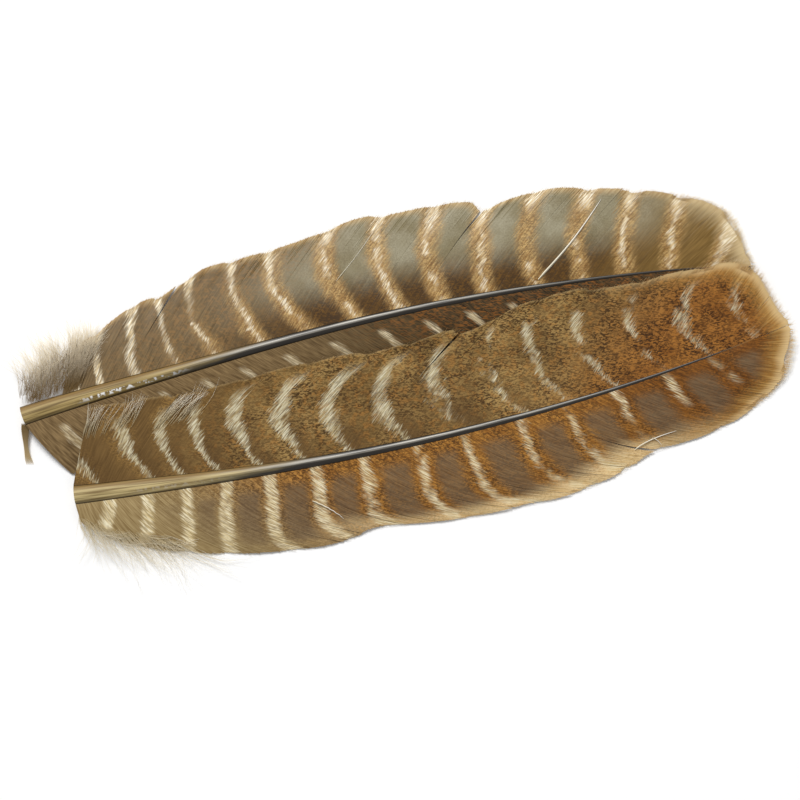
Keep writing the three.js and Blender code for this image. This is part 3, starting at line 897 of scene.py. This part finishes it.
rear_shaft = Shaft(["rear_shaft_cortex"])
front_shaft = Shaft(["front_shaft_base_cortex", "front_shaft_tip_cortex"])

# The lengths that each packed vane is split into.
VANE_PARTS = {
    "rear_left_vane": ["base", "middle", "tip"],
    "rear_right_vane": ["base", "tip"],
    "front_left_vane": ["base", "tip"],
    "front_right_vane": ["base", "lower", "upper", "tip"],
}

# The panels on both sides of a tip, because the last barbs run along the line between them.
REAR_TIP = ["rear_left_vane_tip", "rear_right_vane_tip"]
FRONT_TIP = ["front_left_vane_tip", "front_right_vane_tip"]

# Each pale bar: where it meets the shaft, from 0 at the cut end to 1 at the tip, and how far back towards
# the cut end it swings before it follows the barbs, in millimetres.
REAR_LEFT_BARS = [
    (0.081, 14), (0.109, 16), (0.16, 18), (0.219, 26), (0.273, 31), (0.338, 32), (0.403, 36), (0.471, 33),
    (0.533, 31), (0.593, 28), (0.654, 24), (0.722, 26), (0.787, 24), (0.847, 22), (0.91, 21), (0.973, 16),
]
REAR_RIGHT_BARS = [(place + 0.02, 3) for place, _ in REAR_LEFT_BARS]
FRONT_LEFT_BARS = [
    (0.034, 17), (0.113, 19), (0.159, 20), (0.213, 26), (0.273, 29), (0.338, 27), (0.405, 23), (0.488, 28),
    (0.573, 31), (0.661, 40), (0.727, 42), (0.8, 38), (0.868, 32), (0.938, 24),
]
FRONT_RIGHT_BARS = [
    (0.05, 26), (0.106, 29), (0.162, 28), (0.22, 31), (0.285, 30), (0.354, 29), (0.423, 28), (0.504, 27),
    (0.571, 25), (0.652, 23), (0.72, 22), (0.79, 21), (0.866, 19), (0.934, 17),
]


def panels(vane):
    """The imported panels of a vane."""
    return [f"{vane}_{part}" for part in VANE_PARTS[vane]]


# bend gives the shortest length of barb over which a bar swings back, and how late it starts to.
rear_left = Barbs(
    rear_shaft, LEFT, angle=48, spread=22, sweep=11, nodes=panels("rear_left_vane") + REAR_TIP,
    bars=REAR_LEFT_BARS, bend=(50, 0), first=TUFT_END - TUFT_OVERLAP,
)
rear_right = Barbs(
    rear_shaft, RIGHT, angle=47, spread=24, sweep=18, nodes=panels("rear_right_vane") + REAR_TIP,
    bars=REAR_RIGHT_BARS, bend=(20, 0),
)
front_left = Barbs(
    front_shaft, LEFT, angle=47, spread=26, sweep=12, nodes=panels("front_left_vane") + FRONT_TIP,
    bars=FRONT_LEFT_BARS, bend=(24, 0),
)
front_right = Barbs(
    front_shaft, RIGHT, angle=48, spread=34, sweep=30, nodes=panels("front_right_vane") + FRONT_TIP,
    bars=FRONT_RIGHT_BARS, bend=(46, 0.4),
)
join_tips(rear_left, rear_right)
join_tips(front_left, front_right)
rear_tuft = Barbs(
    rear_shaft, LEFT, angle=52, spread=16, sweep=-6, nodes=["rear_left_down"],
    bars=REAR_LEFT_BARS, bend=(50, 0), last=TUFT_END,
)
rear_tuft.length = np.interp(rear_tuft.share, [0, TUFT_END], REAR_DOWN_LENGTHS)


# Pale barbs lying loose on a vane: where each starts and ends, as a share of the shaft and a fraction of a
# barb, then how far it bows towards the tip and how wide it is, in millimetres.
REAR_STRAYS = [
    ((0.725, 0.05), (0.725, 0.88), 1.5, 0.9),
    ((0.41, 0.4), (0.41, 0.97), 1.0, 0.25),
]
FRONT_STRAYS = [
    ((0.285, 0.38), (0.275, 0.72), 0.7, 0.55),
    ((0.676, 0.85), (0.75, 0.74), 1.0, 0.5),
    ((0.72, 0.72), (0.7, 0.93), 0.5, 0.35),
]


def flexing(piece):
    """Bakes a piece of the front feather into its mesh; the hinge's place and slope are read but not used.
    """
    hinge_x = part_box("front_shaft_tip_cortex")[0].x / MM
    y = float(front_shaft.middle(hinge_x))
    slope = float(front_shaft.middle.deriv()(hinge_x))
    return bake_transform(piece)


def riding(body):
    """Lets a piece ride one body whole."""
    return lambda piece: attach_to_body(piece, body)


def finish_piece(piece, attach, nodes):
    """Hands a piece to attach, which ties it to a body or bakes it in place, and hides the CAD nodes it
    takes the place of.
    """
    attach(piece)
    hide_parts(*nodes)


def add_shaft(feather, shaft, horn, attach, lengths):
    """A feather's horny wall and the pith inside it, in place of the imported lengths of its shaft."""
    wall = cortex_mesh(shaft).build(f"{feather}_shaft", horn)
    finish_piece(wall, attach, [f"{length}_cortex" for length in lengths])
    core = pith_mesh(shaft).build(f"{feather}_pith", pith)
    finish_piece(core, attach, [f"{length}_pith" for length in lengths])


def add_vane(name, barbs, material, attach, tears, seed):
    """One vane in clumps of barbs, torn at some shares of the shaft."""
    chance = random.Random(SEED + seed)
    mesh = Mesh()
    for clump in clumps(barbs, tears, chance):
        add_clump(mesh, barbs, clump, chance)
    add_fringe(mesh, barbs, chance)
    finish_piece(mesh.build(name, material), attach, panels(name))


def add_tuft(name, barbs, material, attach, nodes, shares, bunches, start, past_edge, curl, seed):
    """Down: bunches of loose threads that leave a barb together and stray more and more from it.

    start is the least fraction of the barb at which they leave it.
    """
    chance = random.Random(SEED + seed)
    mesh = Mesh()
    for _ in range(bunches):
        share = chance.uniform(*shares)
        begin = start + (0.9 - start) * chance.random() ** 2
        longer = past_edge * chance.uniform(0.1, 1)
        lean = curl * chance.uniform(-1, 1)
        for _ in range(THREADS_IN_BUNCH):
            beside = share + chance.gauss(0, 1) * BUNCH_SPREAD / barbs.shaft.length
            stray = lean + 0.35 * curl * chance.gauss(0, 1)
            past = longer * chance.uniform(0.4, 1.1)
            leaves = begin * chance.uniform(0.8, 1)
            points = strand_on_barb(barbs, beside, leaves, past, stray, DOWN_LIFT, chance)
            add_strand(mesh, points, STRAND_WIDTH * chance.uniform(0.6, 1.1))
    finish_piece(mesh.build(name, material), attach, nodes)


def strand_across(barbs, start, end, bow):
    """Points of a thread lying on a vane between two places, each a share and a fraction of a barb."""
    t = np.linspace(0, 1, STRAND_RINGS)
    share, fraction = (a + (b - a) * t for a, b in zip(start, end))
    column = np.array([barbs.nearest(one) for one in share])
    reach = (fraction * barbs.length[column])[:, None]
    sideways = barbs.towards_tip(column, reach)[:, 0]
    flat = barbs.place(column, reach)[:, 0] + sideways * (bow * np.sin(math.pi * t))[:, None]
    height = [np.interp(part, BARB_SHARES, barbs.height[k]) for part, k in zip(fraction, column)]
    return np.concatenate([flat, np.array(height)[:, None] + STRAY_CLEARANCE], axis=1)


def add_strays(name, barbs, strays, attach):
    """Loose barbs lying on a vane."""
    mesh = Mesh()
    for start, end, bow, width in strays:
        add_strand(mesh, strand_across(barbs, start, end, bow), width)
    finish_piece(mesh.build(name, pale), attach, [f"{name}_barb"])


def add_loose_strip():
    """A narrow strip of vane hanging from the rear feather's cut end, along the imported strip."""
    points = node_points(["rear_loose_strip"])
    far, near = points[points[:, 1].argmin()], points[points[:, 1].argmax()]
    middle = points.mean(0)
    near = near + [0, STRIP_OVERLAP, 0]
    t = np.linspace(0, 1, STRIP_RINGS)[:, None]
    control = 2 * middle - (near + far) / 2
    route = (1 - t) ** 2 * near + 2 * t * (1 - t) * control + t ** 2 * far
    mesh = Mesh()
    for offset in np.linspace(-1, 1, STRIP_BARBS):
        fold = 0.5 + 0.5 * np.cos(math.tau * t[:, 0])
        across = offset * STRIP_WIDTH / 2 * (0.5 + 0.5 * fold)
        barb = route + across[:, None] * [1, 0, 0] + [0, 0, STRIP_CLEARANCE]
        add_strand(mesh, barb, STRIP_FILL * STRIP_WIDTH / STRIP_BARBS)
    piece = mesh.build("rear_loose_strip_barbs", strip)
    finish_piece(piece, on_rear, ["rear_loose_strip"])


on_rear = riding("rear_feather")
on_front_base = riding("front_feather_base")

rear_horn = shaft_material("rear_shaft_horn", (108, 86, 42), (180, 156, 98), painted_glints=0.95)
front_horn = shaft_material("front_shaft_horn", (122, 100, 56), (202, 182, 128), painted_glints=0.12)
pith = pith_material()
down = strand_material("down", (134, 108, 66), (252, 242, 220))
wisp = strand_material("wisp", (206, 190, 152), (246, 240, 224))
pale = strand_material("pale_barb", (232, 224, 200), (250, 246, 236))
strip = strand_material("loose_strip", (140, 118, 80), (206, 186, 146))

add_shaft("rear", rear_shaft, rear_horn, on_rear, ["rear_shaft"])
add_shaft("front", front_shaft, front_horn, flexing, ["front_shaft_base", "front_shaft_tip"])
add_vane("rear_left_vane", rear_left, rear_left_material(), on_rear, tears=[0.15, 0.56], seed=1)
add_vane("rear_right_vane", rear_right, rear_right_material(), on_rear, tears=[], seed=2)
add_vane("front_left_vane", front_left, front_left_material(), flexing, tears=[0.07, 0.43], seed=3)
add_vane("front_right_vane", front_right, front_right_material(), flexing, tears=[0.68], seed=4)

add_tuft(
    "rear_down", rear_tuft, down, on_rear, ["rear_left_down"],
    shares=(0.004, TUFT_END), bunches=60, start=0, past_edge=9, curl=8, seed=5,
)
add_tuft(
    "front_left_wisps", front_left, wisp, on_front_base, ["front_left_down"],
    shares=(0, 0.1), bunches=10, start=0.7, past_edge=1.5, curl=2, seed=6,
)
add_tuft(
    "front_right_wisps", front_right, wisp, on_front_base, ["front_right_down"],
    shares=(0, 0.08), bunches=26, start=0.7, past_edge=19, curl=8, seed=7,
)
add_strays("rear_stray", rear_left, REAR_STRAYS, on_rear)
add_strays("front_stray", front_right, FRONT_STRAYS, flexing)
add_loose_strip()


# ---------------- floor, light and camera

LENS = 100.0
SENSOR = 36.0
PICTURE_OVER_LENGTH = 1.031  # the picture's width over the pair's length
LOOK_OFF_CENTRE = (-0.0097, -0.018)  # where the picture's middle is, as shares of that length
FLOOR_SIZE = 6


def add_floor():
    """A white floor, which is no part of the object."""
    bpy.ops.mesh.primitive_plane_add(size=FLOOR_SIZE)
    floor = bpy.context.object
    floor.name = "floor"
    paint = Shader("floor", 0.9)
    paint.lay((255, 255, 255))
    floor.data.materials.append(paint.material)


def add_light(name, place, size, power):
    """A round lamp that faces the pair."""
    light = bpy.data.lights.new(name, "AREA")
    light.shape = "DISK"
    light.size = size
    light.energy = power
    lamp = new_object(name, light)
    lamp.location = place
    lamp.rotation_euler = (-Vector(place)).to_track_quat("-Z", "Y").to_euler()


def add_sky(strength):
    """The same white light from all round."""
    world = bpy.data.worlds.new("studio")
    world.use_nodes = True
    background = world.node_tree.nodes["Background"].inputs
    background["Color"].default_value = (1, 1, 1, 1)
    background["Strength"].default_value = strength
    bpy.context.scene.world = world


def add_camera():
    """A long lens looking straight down, since the photo shows no perspective."""
    low, high = (Vector(corner) for corner in cad_box)
    middle = (low + high) / 2
    length = high.x - low.x
    camera = new_object("camera", bpy.data.cameras.new("camera"))
    camera.data.lens = LENS
    camera.data.sensor_width = SENSOR
    away = length * PICTURE_OVER_LENGTH * LENS / SENSOR
    camera.location = (
        middle.x + LOOK_OFF_CENTRE[0] * length, middle.y + LOOK_OFF_CENTRE[1] * length, middle.z + away,
    )
    bpy.context.scene.camera = camera


add_floor()
add_light("key", place=(-0.9, 2.95, 3.3), size=1.8, power=180)
add_sky(strength=0.42)
add_camera()
bpy.context.scene.view_settings.view_transform = "Standard"
